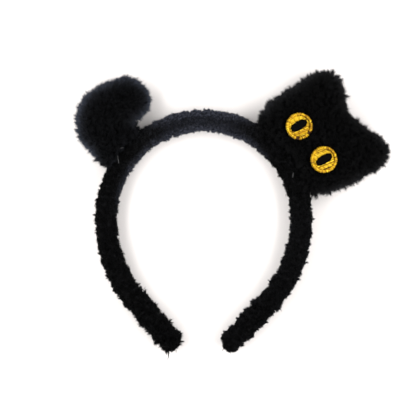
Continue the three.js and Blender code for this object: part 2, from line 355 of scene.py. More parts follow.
def strands(name, paths, radius, materials, shade, rng):
    """Closed three-sided spikes along the paths, all as one mesh."""
    count, steps = paths.shape[:2]
    direction = unit(paths[:, -1] - paths[:, 0])
    side = unit(np.cross(direction, unit(rng.normal(size=(count, 3)))))
    other = np.cross(direction, side)
    rings = steps - 1
    taper = 1 - 0.4 * np.arange(rings) / rings
    angle = np.arange(3) / 3 * TAU
    ring = np.cos(angle)[None, :, None] * side[:, None] + np.sin(angle)[None, :, None] * other[:, None]
    body = paths[:, :rings, None] + ring[:, None] * (radius[:, None] * taper)[..., None, None]
    points = np.concatenate([body.reshape(count, rings * 3, 3), paths[:, -1:]], 1)
    per = rings * 3 + 1
    quads = grid_quads(rings, 3)
    tris = np.vstack([ring_fan((rings - 1) * 3, 3, per - 1), [[0, 2, 1]]])
    start = (np.arange(count) * per)[:, None, None]
    faces = [(start + quads).reshape(-1, 4), (start + tris).reshape(-1, 3)]
    shades = np.concatenate([np.repeat(shade, len(quads)), np.repeat(shade, len(tris))])
    return new_mesh(name, points.reshape(-1, 3), faces, materials, shades)


def vertex_normals(points, quads):
    """Smooth normals of a surface of quads."""
    normals = np.zeros_like(points)
    face = np.cross(points[quads[:, 2]] - points[quads[:, 0]], points[quads[:, 3]] - points[quads[:, 1]])
    for k in range(4):
        np.add.at(normals, quads[:, k], face)
    return unit(normals)


# ---------------------------------------------------------------- materials

def principled(name, colour, roughness, specular, sheen=0.0):
    """A material whose plain values sit on the shader's own sockets."""
    material = bpy.data.materials.new(name)
    material.use_nodes = True
    shader = material.node_tree.nodes["Principled BSDF"]
    shader.inputs["Base Color"].default_value = (*colour, 1)
    shader.inputs["Roughness"].default_value = roughness
    shader.inputs["Specular IOR Level"].default_value = specular
    shader.inputs["Sheen Weight"].default_value = sheen
    shader.inputs["Sheen Roughness"].default_value = 0.4
    material.diffuse_color = (*colour, 1)
    return material


def patterned(material, low, high, scale, detail=3.0, bump=0.0, bump_distance=0.2 * MM, rough=None):
    """Adds a mottle between two colours, with optional bump and roughness from the same noise."""
    nodes, links = material.node_tree.nodes, material.node_tree.links
    shader = nodes["Principled BSDF"]
    place = nodes.new("ShaderNodeTexCoord")
    grain = nodes.new("ShaderNodeTexNoise")
    grain.inputs["Scale"].default_value = scale
    grain.inputs["Detail"].default_value = detail
    ramp = nodes.new("ShaderNodeValToRGB")
    ramp.color_ramp.elements[0].position = 0.35
    ramp.color_ramp.elements[1].position = 0.68
    ramp.color_ramp.elements[0].color = (*low, 1)
    ramp.color_ramp.elements[1].color = (*high, 1)
    links.new(place.outputs["Object"], grain.inputs["Vector"])
    links.new(grain.outputs["Fac"], ramp.inputs["Fac"])
    links.new(ramp.outputs["Color"], shader.inputs["Base Color"])
    if rough is not None:
        spread = nodes.new("ShaderNodeMapRange")
        spread.inputs["To Min"].default_value, spread.inputs["To Max"].default_value = rough
        links.new(grain.outputs["Fac"], spread.inputs["Value"])
        links.new(spread.outputs["Result"], shader.inputs["Roughness"])
    if bump:
        relief = nodes.new("ShaderNodeBump")
        relief.inputs["Strength"].default_value = bump
        relief.inputs["Distance"].default_value = bump_distance
        links.new(grain.outputs["Fac"], relief.inputs["Height"])
        links.new(relief.outputs["Normal"], shader.inputs["Normal"])
    return material


DARKEST_PILE = 0.0009
SHADE_RATIO = 1.95


def pile_shades(name, count, tint):
    """Plain materials for a pile's strands, each brighter than the one before and further to the tint."""
    materials = []
    for i in range(count):
        grey = DARKEST_PILE * SHADE_RATIO**i
        share = (i / count) ** 1.3
        colour = [grey * (1 + (t - 1) * share) for t in tint]
        materials.append(principled(f"{name}_{i}", colour, 0.75, 0.05))
    return materials


def shade_of(brightness):
    """The place of a brightness among the shades of a pile."""
    return np.log(np.maximum(brightness, 1e-5) / DARKEST_PILE) / math.log(SHADE_RATIO)


# In each pile the brighter shades lean to its tint, which is the colour of its painted sheen.
TERRY_PILE = pile_shades("terry_pile", 7, (1, 1.1, 1.55))
HEAD_PILE = pile_shades("head_pile", 6, (1, 1.02, 1.15))
TAIL_PILE = pile_shades("tail_pile", 7, (1, 1.15, 1.6))
BACKING = patterned(
    principled("plush_backing", (0.003, 0.003, 0.0033), 0.95, 0.04),
    (0.001, 0.001, 0.0011), (0.0045, 0.0045, 0.005), 900, bump=0.5,
)
# Paler backing under the pile's strongest painted sheen, so the gaps between strands carry painted sheen too.
SHEEN_PAINTED_BACKING = patterned(
    principled("sheen_painted_backing", (0.009, 0.0098, 0.0135), 0.95, 0.04),
    (0.006, 0.0066, 0.009), (0.012, 0.013, 0.018), 900, bump=0.5,
)
CORE_PLASTIC = patterned(
    principled("strip_plastic", (0.012, 0.012, 0.013), 0.45, 0.5),
    (0.01, 0.01, 0.011), (0.017, 0.017, 0.018), 300, bump=0.2, bump_distance=0.05 * MM, rough=(0.35, 0.6),
)
FOAM = patterned(
    principled("foam", (0.03, 0.03, 0.032), 0.95, 0.1),
    (0.012, 0.012, 0.013), (0.06, 0.06, 0.064), 1500, detail=1.0, bump=0.8,
)
FELT = patterned(
    principled("felt", (0.008, 0.008, 0.008), 0.95, 0.1, 0.1),
    (0.004, 0.004, 0.004), (0.014, 0.014, 0.014), 1800, detail=5.0, bump=0.5,
)
# The darkest thread, d, is used at random, and on the left eye as painted shade.
GOLD = [
    patterned(principled("gold_thread_" + letter, colour, roughness, specular), low, high, 700, rough=rough)
    for letter, colour, roughness, specular, low, high, rough in (
        ("a", (0.62, 0.365, 0.006), 0.45, 0.25, (0.5, 0.26, 0.003), (0.7, 0.445, 0.009), (0.35, 0.55)),
        ("b", (0.4, 0.2, 0.004), 0.5, 0.25, (0.28, 0.12, 0.002), (0.5, 0.28, 0.005), (0.4, 0.6)),
        ("c", (0.78, 0.53, 0.015), 0.4, 0.35, (0.7, 0.44, 0.008), (0.88, 0.63, 0.03), (0.3, 0.5)),
        ("d", (0.05, 0.016, 0.002), 0.6, 0.2, (0.02, 0.007, 0.001), (0.09, 0.03, 0.003), (0.5, 0.7)),
    )
]
# The underlay's dark brown is painted shade: it shows in the gaps and the groove between the threads.
UNDERLAY_PAINTED_SHADE = patterned(
    principled("underlay_painted_shade", (0.045, 0.014, 0.001), 0.8, 0.1),
    (0.015, 0.005, 0.0005), (0.08, 0.025, 0.001), 900,
)
PUPIL_BLACK = patterned(
    principled("pupil_thread", (0.0012, 0.0012, 0.0012), 0.8, 0.03),
    (0.0006, 0.0006, 0.0006), (0.002, 0.002, 0.002), 1500, rough=(0.7, 0.9),
)
SEWING_BLACK = patterned(
    principled("sewing_thread", (0.012, 0.012, 0.013), 0.45, 0.4),
    (0.008, 0.008, 0.009), (0.022, 0.022, 0.024), 2500,
)
# Nylon thread ends, whose paler grey is partly a painted glint.
NYLON_GLINT = principled("nylon_glint_thread", (0.045, 0.045, 0.046), 0.35, 0.45)


# ---------------------------------------------------------------- the band

def knobs(points):
    """Height of the terry's knobs at each point: rounded cells of uneven height with narrow valleys."""
    height = np.empty(len(points))
    for i, p in enumerate(points / KNOB_PITCH):
        reach, middles = noise.voronoi(p)
        tall = 0.45 + 1.1 * noise.cell(middles[0] * 7.3)
        height[i] = tall * (1 - min(reach[0] / 0.8, 1) ** 2)
    return height


def shagginess(distance):
    """How much taller the sleeve's knobs stand at each distance: more towards the tips."""
    t = np.clip((np.abs(distance) - 90 * MM) / (70 * MM), 0, 1)
    return 1 + 0.5 * t * t * (3 - 2 * t)


def band_rings(distance, sides, across, deep, power, shrink=1.0):
    """Rings of a band layer's section at distances along the arch, as (rings, sides, 3) points."""
    centre, outward = arch_line(distance)
    angle = np.arange(sides) / sides * TAU
    c, s = np.cos(angle), np.sin(angle)
    a = across * np.sign(c) * np.abs(c) ** (2 / power)
    b = deep * np.sign(s) * np.abs(s) ** (2 / power)
    section = outward[:, None] * a[:, None] + np.array([0, 0, 1.0]) * b[:, None]
    return centre[:, None] + section * np.broadcast_to(shrink, len(centre))[:, None, None]


def end_shrink(distance, end, radius):
    """Share of the section left at each distance where a band layer closes in a rounded end."""
    beyond = np.clip((np.abs(distance) - (end - radius)) / radius, 0, 1)
    return np.sqrt(np.maximum(1 - beyond**2, 0.0004))


def rings_out(rings, centre):
    """Outward normals of a surface made of rings."""
    sides = rings.shape[1]
    points = rings.reshape(-1, 3)
    normals = vertex_normals(points, grid_quads(len(rings), sides)).reshape(rings.shape)
    outside = ((rings - centre[:, None]) * normals).sum(-1).mean()
    return normals if outside > 0 else -normals


def band_layer(name, outer, inner, materials, closed_end):
    """A hollow stretch of the band. It has two open ends, or the last is closed with a rounded cap."""
    sides, count = outer.shape[1], len(outer)
    if closed_end:
        points = [outer.reshape(-1, 3), inner.reshape(-1, 3), outer[-1:].mean(1), inner[-1:].mean(1)]
        first = (count + len(inner)) * sides
        quads = [grid_quads(count, sides), grid_quads(len(inner), sides, count * sides)[:, ::-1]]
        lip = np.arange(sides)
        turn = (lip + 1) % sides
        quads.append(np.stack([turn, lip, lip + count * sides, turn + count * sides], -1))
        end, inner_end = (count - 1) * sides, first - sides
        caps = [ring_fan(end, sides, first), ring_fan(inner_end, sides, first + 1)[:, ::-1]]
        obj = new_mesh(name, np.vstack(points), [np.vstack(quads), np.vstack(caps)], materials)
    else:
        rings = np.concatenate([outer, inner[::-1], outer[:1]])
        quads = grid_quads(len(rings), sides)
        total = (len(rings) - 1) * sides
        obj = new_mesh(name, rings[:-1].reshape(-1, 3), [quads % total], materials)
    face_outwards(obj)
    return obj


def spaced(start, stop, pitch):
    return np.linspace(start, stop, max(2, round(abs(stop - start) / pitch) + 1))


# Sections of the band's layers: half sizes across the arch and along Z, and the power of their corners.
CORE_SECTION = (1 * MM, 4.2 * MM, 12)
FOAM_SECTION = (3.5 * MM, 6 * MM, 5)
FOAM_HOLE_SECTION = (1.3 * MM, 4.5 * MM, 12)
LINING_SECTION = (3.7 * MM, 6.2 * MM, 7)
CAP_THICKNESS = 1.6 * MM
SLEEVE_END = HALF_LENGTH + 6.2 * MM
STRETCHES = {
    "crown": (-FLEX_START, FLEX_START),
    "left": (-FLEX_START, -SLEEVE_END),
    "right": (FLEX_START, SLEEVE_END),
}


def follow(obj, stretch):
    """Makes the crown's piece of the band follow the band's body; a side's piece only has its placement
    applied to its mesh.
    """
    if stretch == "crown":
        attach(obj, "band")
        return
    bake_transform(obj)


def make_sleeve(stretch, rng, pile_count):
    """One stretch of the terry sleeve, knobs and pile."""
    start, stop = STRETCHES[stretch]
    closed_end = stretch != "crown"
    distance = spaced(start, stop, RING_PITCH)
    shrink = end_shrink(distance, SLEEVE_END, FABRIC_ACROSS) if closed_end else np.ones(len(distance))
    outer = band_rings(distance, SLEEVE_SIDES, FABRIC_ACROSS, FABRIC_DEEP, SECTION_POWER, shrink)
    centre = arch_line(distance)[0]
    normals = rings_out(outer, centre)
    height = knobs(outer.reshape(-1, 3)).reshape(outer.shape[:2])
    outer = outer + normals * (height * KNOB_HEIGHT * shagginess(distance)[:, None])[..., None]
    outer[..., 2] = np.maximum(outer[..., 2], FLOOR_CLEARANCE + 0.1 * MM)
    inner_distance = distance[: -round(CAP_THICKNESS / RING_PITCH)] if closed_end else distance
    inner_shrink = shrink[: len(inner_distance)]
    inner = band_rings(inner_distance, SLEEVE_SIDES, *LINING_SECTION, inner_shrink)
    sleeve = band_layer("sleeve_fabric_" + stretch, outer, inner, [BACKING, SHEEN_PAINTED_BACKING], closed_end)
    middles = np.array([p.center for p in sleeve.data.polygons])
    # Faces under strong painted sheen take the paler backing, which is painted sheen.
    pale = (terry_painted_sheen(middles) > SHEEN_PAINT_LEVEL).astype(np.int32)
    sleeve.data.polygons.foreach_set("material_index", pale)
    pile_normals = rings_out(outer, centre)
    points = outer.reshape(-1, 3)
    quads = grid_quads(len(outer), SLEEVE_SIDES)
    roots, out = scatter(points, pile_normals.reshape(-1, 3), quads, pile_count, rng)
    area = pile_area(points, quads)
    pile = fur(
        "sleeve_pile_" + stretch, roots, out, rng, TERRY_PILE, length=TERRY_LENGTH,
        clumps=round(area / TERRY_CLUMP_PITCH**2), gather=0.38 if stretch == "crown" else 0.52,
        twist=2.5, lean=0.4, curl=0.45 * MM, radius=0.13 * MM, uneven=0.42, stray=0.03,
        level=terry_painted_sheen, growth=terry_growth,
    )
    replaced = ["plush_sleeve_crown"] if stretch == "crown" else [
        f"plush_sleeve_flex_{stretch}", f"plush_sleeve_arm_{stretch}", f"sleeve_tip_{stretch}"
    ]
    for obj in (sleeve, *pile):
        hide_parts(*replaced)
        follow(obj, stretch)


def terry_growth(points):
    """How much longer the sleeve's pile is at each point: more down the arms, most at the left tip."""
    below = np.clip((ARCH[1] - points[:, 1]) / (70 * MM), 0, 1)
    distance = arch_offset(points)[0]
    tip = 1 - fallen(np.abs(distance), 148 * MM, 174 * MM)
    return 1 + 0.3 * below + np.where(distance < 0, 0.42, -0.65) * tip


def fallen(distance, start, stop):
    """1 up to start, 0 past stop, and a smooth fall between."""
    t = np.clip((distance - start) / (stop - start), 0, 1)
    return 1 - t * t * (3 - 2 * t)


def terry_painted_sheen(points):
    """Brightness of the sleeve's pile, with painted sheen: palest over the crown and along the sides."""
    distance, offset = arch_offset(points)
    left = distance < 0
    far = np.abs(distance)
    middle = fallen(far, 2 * MM, np.where(left, 56, 40) * MM)
    outer_start, outer_stop = np.where(left, 4, -8) * MM, np.where(left, 38, 32) * MM
    outer = np.clip(offset / RIM_OFFSET, 0, 1) ** 3 * fallen(far, outer_start, outer_stop)
    inner_start, inner_stop = np.where(left, 54, 26) * MM, np.where(left, 100, 56) * MM
    inner = np.clip(-offset / RIM_OFFSET, 0, 1) ** 3 * fallen(far, inner_start, inner_stop)
    inner = inner * (0.7 + 0.3 * fallen(far, 0, 17 * MM))
    edge = np.clip(np.abs(offset) / RIM_OFFSET, 0, 1) ** 4
    arm = 1 - fallen(far, 72 * MM, 92 * MM)
    plain = 0.0018 + np.where(left, 0.0002, 0.0014) * arm * fallen(far, 100 * MM, 170 * MM)
    return plain + 0.018 * middle + 0.42 * outer + 0.095 * inner + np.where(left, 0.003, 0.006) * edge * arm


def pile_area(points, quads):
    one = np.cross(points[quads[:, 2]] - points[quads[:, 0]], points[quads[:, 3]] - points[quads[:, 1]])
    return np.linalg.norm(one, axis=1).sum() / 2


def make_inside(side):
    """The strip and its foam wrap, from the crown stretch to one arm's end."""
    way = -1 if side == "left" else 1
    distance = way * spaced(FLEX_START + 0.3 * MM, HALF_LENGTH - 1 * MM, 2 * MM)
    core = band_rings(distance, LAYER_SIDES, *CORE_SECTION)
    middle = core.mean(1, keepdims=True)
    strip = band_layer("core_strip_" + side, core, middle + (core - middle) * 0.02, [CORE_PLASTIC], False)
    foam = band_rings(distance, LAYER_SIDES, *FOAM_SECTION)
    hole = band_rings(distance, LAYER_SIDES, *FOAM_HOLE_SECTION)
    wrap = band_layer("foam_wrap_" + side, foam, hole, [FOAM], False)
    for obj, layer, slot in ((strip, "core_strip", "core_plastic"), (wrap, "foam_wrap", "foam")):
        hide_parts(f"{layer}_flex_{side}", f"{layer}_arm_{side}")
        follow(obj, side)


# ---------------------------------------------------------------- the stuffed pieces

SKIN_REACH = 2.4 * MM
SKIN_MIDDLE = 12.3 * MM
SKIN_LOW = 1.6 * MM
BASE_RADIUS = 66.8 * MM
SEAM_STRETCH = 4.5 * MM
SKIN_RINGS = 34
SWELL_LIMIT = 2.5 * MM
CLOTH_FRAMES = 20


def line_distance(points, line):
    """Distance from 2-D points to the segments of an open or closed line."""
    best = np.full(len(points), np.inf)
    for a, b in zip(line[:-1], line[1:]):
        along = b - a
        t = np.clip(((points - a) @ along) / max(along @ along, 1e-18), 0, 1)
        best = np.minimum(best, np.hypot(*(points - a - t[:, None] * along).T))
    return best


def smoothed(values, passes):
    for _ in range(passes):
        values = (np.roll(values, 1, 0) + 2 * values + np.roll(values, -1, 0)) / 4
    return values


class Skin:
    """The fabric of a stuffed piece: two crowned halves on one outline.

    The outline is drawn in by the inset, to leave room for the pile, but reaches into the band at its base.
    """

    def __init__(self, plush, front, back, crowned, inset):
        rim = plush.outline(OUTLINE_POINTS)
        reach = np.hypot(*(rim - plush.local(ARCH)).T)
        base = reach < BASE_RADIUS + 0.3 * MM
        edge = np.roll(rim, -1, 0) - np.roll(rim, 1, 0)
        outward = unit(np.stack([edge[:, 1], -edge[:, 0]], -1))
        offset = smoothed(np.where(base, SKIN_REACH, -inset), 4)
        self.line = resampled(rim + outward * offset[:, None], OUTLINE_POINTS)
        closed = np.vstack([self.line, self.line[:1]])
        share = np.sin(np.linspace(math.pi / 2, 0.03, SKIN_RINGS))
        flat = (self.line[None] * share[:, None, None]).reshape(-1, 2)
        distance = line_distance(flat, closed)
        rise = np.sqrt(np.maximum(1 - (1 - np.minimum(distance / crowned, 1)) ** 2, 0))
        lump = np.array([noise.noise(Vector((x / 0.013, y / 0.013, plush.turn))) for x, y in flat])
        rise = rise * (1 + 0.07 * lump)
        world = plush.world(flat)
        top = np.column_stack([world, SKIN_MIDDLE + front * rise])
        under = np.column_stack([world, np.maximum(SKIN_MIDDLE - back * rise, SKIN_LOW + 0.15 * MM * lump)])
        under[:OUTLINE_POINTS, 2] = top[:OUTLINE_POINTS, 2] = SKIN_MIDDLE
        self.top, self.under = top, under
        self.outline = closed

    def build(self, name):
        """The closed skin as an object."""
        sides = OUTLINE_POINTS
        middle = [self.top[-sides:].mean(0), self.under[-sides:].mean(0)]
        points = np.vstack([self.top, self.under[sides:], middle])
        top = grid_quads(SKIN_RINGS, sides)
        under = np.where(top >= sides, top - sides + len(self.top), top)[:, ::-1]
        last = len(points)
        caps = np.vstack([
            ring_fan(len(self.top) - sides, sides, last - 2),
            ring_fan(last - 2 - sides, sides, last - 1)[:, ::-1],
        ])
        obj = new_mesh(name, points, [np.vstack([top, under]), caps], [BACKING])
        face_outwards(obj)
        return obj


def inflated(obj, cap):
    """Blows a closed skin up as cloth, moves no point further than cap, and lays its back flat."""
    remesh = obj.modifiers.new("remesh", "REMESH")
    remesh.mode = "VOXEL"
    remesh.voxel_size = 2 * MM
    bake_modifiers(obj)
    rest = vertex_places(obj.data)
    cloth = obj.modifiers.new("inflate", "CLOTH").settings
    cloth.use_pressure = True
    cloth.uniform_pressure_force = 4
    cloth.effector_weights.gravity = 0
    for step in range(1, CLOTH_FRAMES + 1):
        bpy.context.scene.frame_set(step)
    blown = vertex_places(obj.evaluated_get(bpy.context.evaluated_depsgraph_get()).data)
    bpy.context.scene.frame_set(1)
    obj.modifiers.clear()
    move = blown - rest
    far = np.linalg.norm(move, axis=1, keepdims=True)
    places = rest + move * np.minimum(1, cap / np.maximum(far, 1e-9))
    places[:, 2] = np.maximum(places[:, 2], SKIN_LOW)
    obj.data.vertices.foreach_set("co", places.astype(np.float32).ravel())
    obj.modifiers.new("smooth", "SUBSURF").levels = 1
    bake_modifiers(obj)


def bake_modifiers(obj):
    """Replaces an object's mesh with what its modifiers make of it."""
    materials = list(obj.data.materials)
    mesh = bpy.data.meshes.new_from_object(obj.evaluated_get(bpy.context.evaluated_depsgraph_get()))
    obj.modifiers.clear()
    obj.data = mesh
    mesh.materials.clear()
    for material in materials:
        mesh.materials.append(material)
    mesh.polygons.foreach_set("use_smooth", np.ones(len(mesh.polygons), bool))


def vertex_places(mesh):
    places = np.empty(len(mesh.vertices) * 3)
    mesh.vertices.foreach_get("co", places)
    return places.reshape(-1, 3)


def surface_of(obj):
    """Points, normals and quads of a mesh of quads and triangles, with each triangle as a folded quad."""
    mesh = obj.data
    normals = np.empty(len(mesh.vertices) * 3)
    mesh.vertices.foreach_get("normal", normals)
    faces = [tuple(p.vertices) for p in mesh.polygons]
    quads = [(*face, face[2]) if len(face) == 3 else face for face in faces]
    return vertex_places(mesh), normals.reshape(-1, 3), np.array(quads)


def seam_line(plush, depth):
    """Start and end, in the row frame, of the stretch over which a stuffed piece bends away from the band."""
    base = plush.local(ARCH)[1] + BASE_RADIUS - 1 * MM
    return [tuple(plush.world(np.array([0, base + d]))) + (BAND_MID,) for d in (0, depth)]


def hinge(obj, plush):
    start, end = seam_line(plush, SEAM_STRETCH)
    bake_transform(obj)


EYE_SPOTS = {"left": (-12.2 * MM, -9.2 * MM), "right": (12.2 * MM, -9.2 * MM)}
EYE_RADIUS = 7.8 * MM
EYE_INNER = 6.3 * MM
EYE_FLOOR = 25.2 * MM


def away_from_eyes(points):
    """0 where an eye lies over the head's front, 1 elsewhere.

    Over the left eye the pile bites into one side.
    """
    flat = HEAD.local(points[:, :2])
    keep = np.ones(len(points))
    for side, spot in EYE_SPOTS.items():
        covered = np.array([0.9 * MM if side == "left" else 0, 0])
        near = np.hypot(*(flat - np.array(spot) + covered).T) < EYE_RADIUS - 0.4 * MM
        keep = np.where(near & (points[:, 2] > SKIN_MIDDLE), 0, keep)
    return keep


def tail_comb(points):
    """Lean of the tail's pile: round the hook, from its root to its tip."""
    flat = TAIL.local(points[:, :2]) - np.array([3 * MM, -13 * MM])
    along = unit(np.stack([flat[:, 1], -flat[:, 0]], -1))
    world = turned_2d(along, TAIL.turn)
    return np.column_stack([world, np.zeros(len(points))]) * 0.45


def make_pile(plush, skin_obj, rng, materials, slot, counts, density, clump_pitch, **look):
    """The pile of a stuffed piece's front and back."""
    points, normals, quads = surface_of(skin_obj)
    heights = points[quads, 2].mean(1)
    front = heights > SKIN_MIDDLE - 1 * MM
    for side, mask, count in zip(("front", "back"), (front, ~front), counts):
        roots, out = scatter(points, normals, quads[mask], count, rng, density)
        clumps = round(pile_area(points, quads[mask]) / clump_pitch**2)
        for pile in fur(f"{plush.name}_pile_{side}", roots, out, rng, materials, clumps=clumps, **look):
            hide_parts(f"{plush.name}_{side}_panel")
            hinge(pile, plush)


def tufted(size, amount):
    """Length of a pile that stands in soft tufts of the given size."""
    return lambda points: 1 + amount * np.array([noise.noise(Vector(p)) for p in points / size])


def head_painted_sheen(points):
    """Brightness of the head's pile: nearly black, with a painted sheen that makes it paler at the rim, most
    beside the crown.
    """
    across = HEAD.local(points[:, :2])[:, 0] / (35 * MM)
    fade = (1.7 - 0.4 * np.maximum(across, 0)) * MM
    return 0.0036 + (0.038 - 0.01 * across) * rim_share(points, HEAD, fade)


def tail_painted_sheen(points):
    """Brightness of the tail's pile: nearly black, with a painted sheen of cool grey at the rim, widest round
    the top.
    """
    height = np.clip((TAIL.local(points[:, :2])[:, 1] + 4 * MM) / (16 * MM), 0, 1)
    return 0.0046 + (0.08 + 0.012 * height) * rim_share(points, TAIL, (1.4 + 0.35 * height) * MM)


def rim_share(points, plush, fade):
    """1 at a stuffed piece's outline, fading inwards, and 0 beside the band."""
    flat = plush.local(points[:, :2])
    clear = np.hypot(*(points[:, :2] - ARCH).T) - BASE_RADIUS
    return np.exp(-line_distance(flat, SKINS[plush.name].outline) / fade) * np.clip(clear / (9 * MM), 0.1, 1)


def make_stuffed(plush):
    """The skin of a stuffed piece, swollen by its filling, which stands for the panels and the stuffing."""
    skin = SKINS[plush.name].build(plush.name + "_skin")
    inflated(skin, SWELL_LIMIT)
    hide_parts(*(f"{plush.name}_{part}" for part in ("front_panel", "back_panel", "stuffing")))
    hinge(skin, plush)
    return skin


# ---------------------------------------------------------------- the eyes

FILL_TURN = math.radians(75.6)
PUPIL_TURN = math.radians(82.5)
GROOVE_TURN = math.radians(100)
BORDER_STITCHES = 124
GOLD_RADIUS = 0.215 * MM
PUPIL_RADIUS = 0.24 * MM
LEFT_PUPIL_SHIFT = np.array([-0.45 * MM, 0, 0])
PUPIL_LONG = 4.95 * MM
PUPIL_SHORT = 2.45 * MM


def on_head(points, spot):
    """Points given about an eye's middle, in the head's upright frame, as points of the row frame."""
    points = np.asarray(points, float)
    flat = HEAD.world(points[..., :2].reshape(-1, 2) + np.array(spot))
    return np.column_stack([flat, points[..., 2].reshape(-1)]).reshape(points.shape)


def disc(name, spot, radius, low, high, materials, rng, bevel, wobble=0.0, sides=72):
    """A round pad with a rolled edge and a slightly uneven outline."""
    angle = np.arange(sides) / sides * TAU
    uneven = 1 + wobble * smoothed(rng.normal(size=sides), 3)
    flat = np.column_stack([np.cos(angle), np.sin(angle)]) * radius * uneven[:, None]
    profile = [
        (0.86, low), (1, low + bevel), (1, high - bevel), (0.97, high - bevel * 0.3),
        (0.9, high), (0.5, high), (0.2, high),
    ]
    rings = [np.column_stack([flat * share, np.full(sides, z)]) for share, z in profile]
    points = on_head(np.vstack(rings + [[[0, 0, low]], [[0, 0, high]]]), spot)
    end = len(profile) * sides
    caps = np.vstack([ring_fan(0, sides, end)[:, ::-1], ring_fan(end - sides, sides, end + 1)])
    obj = new_mesh(name, points, [grid_quads(len(profile), sides), caps], materials)
    face_outwards(obj)
    return obj


def border_threads(rng):
    """Satin stitches across the border ring: each thread arches from the inner edge to the outer."""
    paths = []
    for i in range(BORDER_STITCHES):
        angle = (i + 0.3 * rng.normal()) / BORDER_STITCHES * TAU
        open_side = math.exp(-((math.remainder(angle - GROOVE_TURN, TAU) / 0.9) ** 2))
        inner = EYE_INNER + (0.6 * open_side - 0.3 + 0.12 * rng.normal()) * MM
        outer = EYE_RADIUS - 0.05 * MM + 0.1 * MM * rng.normal()
        slant = 0.03 + 0.02 * rng.normal()
        t = np.linspace(0, 1, 8)
        radius = inner + (outer - inner) * t
        turn = angle + slant * (t - 0.5)
        rise = EYE_FLOOR + 0.1 * MM + (1.42 + 0.07 * rng.normal()) * MM * np.sin(t * math.pi) ** 0.5
        paths.append(np.column_stack([radius * np.cos(turn), radius * np.sin(turn), rise]))
    return paths


def fill_threads(rng):
    """Stitches of the fill in pairs, with a gap beside each pair and a dip from one stitch to the next."""
    reach = EYE_INNER - 0.2 * MM
    paths = []
    c, s = math.cos(FILL_TURN), math.sin(FILL_TURN)
    for row, middle in enumerate(spaced(-reach + 0.4 * MM, reach - 0.4 * MM, 1.08 * MM)):
        stitch = (2.4 + 0.8 * rng.random()) * MM
        start = stitch * rng.random()
        for offset in (middle - 0.2 * MM, middle + 0.2 * MM):
            half = math.sqrt(max(reach**2 - offset**2, 0)) - 0.1 * MM
            t = spaced(-half, half, 0.25 * MM)
            phase = (t + start + 0.1 * MM * rng.normal()) / stitch
            dip = np.abs(np.sin(phase * math.pi)) ** 0.6
            ends = 0.3 + 0.7 * np.clip((half - np.abs(t)) / (0.7 * MM), 0, 1) ** 0.6
            rise = EYE_FLOOR + (0.05 + 1.15 * dip * ends + 0.05 * rng.normal()) * MM
            side = offset + 0.04 * MM * rng.normal() + 0.04 * MM * np.sin(t / MM + row)
            paths.append(np.column_stack([t * c - side * s, t * s + side * c, rise]))
    return paths


def pupil_threads(rng):
    """Satin stitches across the slit, with uneven ends."""
    paths = []
    c, s = math.cos(PUPIL_TURN), math.sin(PUPIL_TURN)
    for along in spaced(-PUPIL_LONG, PUPIL_LONG, 0.34 * MM):
        half = PUPIL_SHORT * max(1 - abs(along / (PUPIL_LONG * 1.04)) ** 2.6, 0.05) ** 0.5
        low, high = -half - 0.25 * MM * rng.random() ** 2, half + 0.25 * MM * rng.random() ** 2
        t = np.linspace(0, 1, 8)
        across = low + (high - low) * t
        rise = EYE_FLOOR + (1.2 + 0.6 * np.sin(t * math.pi) ** 0.45 + 0.05 * rng.normal()) * MM
        line = along + 0.25 * MM * (t - 0.5) + 0.03 * MM * rng.normal()
        paths.append(np.column_stack([line * c - across * s, line * s + across * c, rise]))
    return paths


def pile_shade_painted(paths):
    """The threads of the left eye turned dark brown as painted shade, where the pile bites into its border at
    two places.
    """
    x, y = np.array([path[:, :2].mean(0) for path in paths]).T
    turn = np.degrees(np.arctan2(y, x))
    places = np.minimum(np.abs(turn - 18), np.abs(turn + 46)) < 8
    between = (np.abs(turn + 14) < 32) & (np.arange(len(paths)) % 4 == 0)
    return (places | between) & (np.hypot(x, y) > 5.2 * MM)


def make_eye(side, rng):
    """One embroidered eye: felt patch, an underlay whose dark brown is painted shade, and the threads of the
    border, the fill and the pupil.
    """
    spot = EYE_SPOTS[side]
    skin = vertex_places(bpy.data.objects["head_skin"].data)
    under = np.hypot(*(HEAD.local(skin[:, :2]) - np.array(spot)).T) < EYE_RADIUS
    low = skin[under & (skin[:, 2] > SKIN_MIDDLE), 2].min() - 0.5 * MM
    patch = disc(
        f"eye_{side}_felt", spot, EYE_RADIUS - 0.25 * MM, low, EYE_FLOOR, [FELT], rng, 0.3 * MM, 0.012
    )
    top = EYE_FLOOR + 0.55 * MM
    underlay = disc(
        f"eye_{side}_underlay", spot, EYE_RADIUS - 0.75 * MM, EYE_FLOOR, top, [UNDERLAY_PAINTED_SHADE], rng, 0.1 * MM
    )
    parts = {
        "border": (border_threads(rng), GOLD_RADIUS, GOLD, (0.48, 0.37, 0.12, 0.03), "gold_thread"),
        "fill": (fill_threads(rng), GOLD_RADIUS, GOLD, (0.42, 0.17, 0.37, 0.04), "gold_thread"),
        "pupil": (pupil_threads(rng), PUPIL_RADIUS, [PUPIL_BLACK], (1,), "pupil_thread"),
    }
    for part, (paths, radius, materials, shares, slot) in parts.items():
        shades = rng.choice(len(materials), len(paths), p=shares)
        if side == "left" and part == "pupil":
            paths = [path + LEFT_PUPIL_SHIFT for path in paths]
        elif side == "left":
            # Painted shade: the left eye's border and fill threads go dark brown where the pile bites in.
            shades = np.where(pile_shade_painted(paths), len(materials) - 1, shades)
        paths = [on_head(path, spot) for path in paths]
        obj = tubes(f"eye_{side}_{part}_threads", paths, radius, materials, shades)
        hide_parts(f"eye_{side}_{part}")
        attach(obj, "cat_head")
    for obj, slot, node in ((patch, "felt", "patch"), (underlay, "gold_thread", "fill")):
        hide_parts(f"eye_{side}_{node}")
        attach(obj, "cat_head")


# ---------------------------------------------------------------- sewing thread

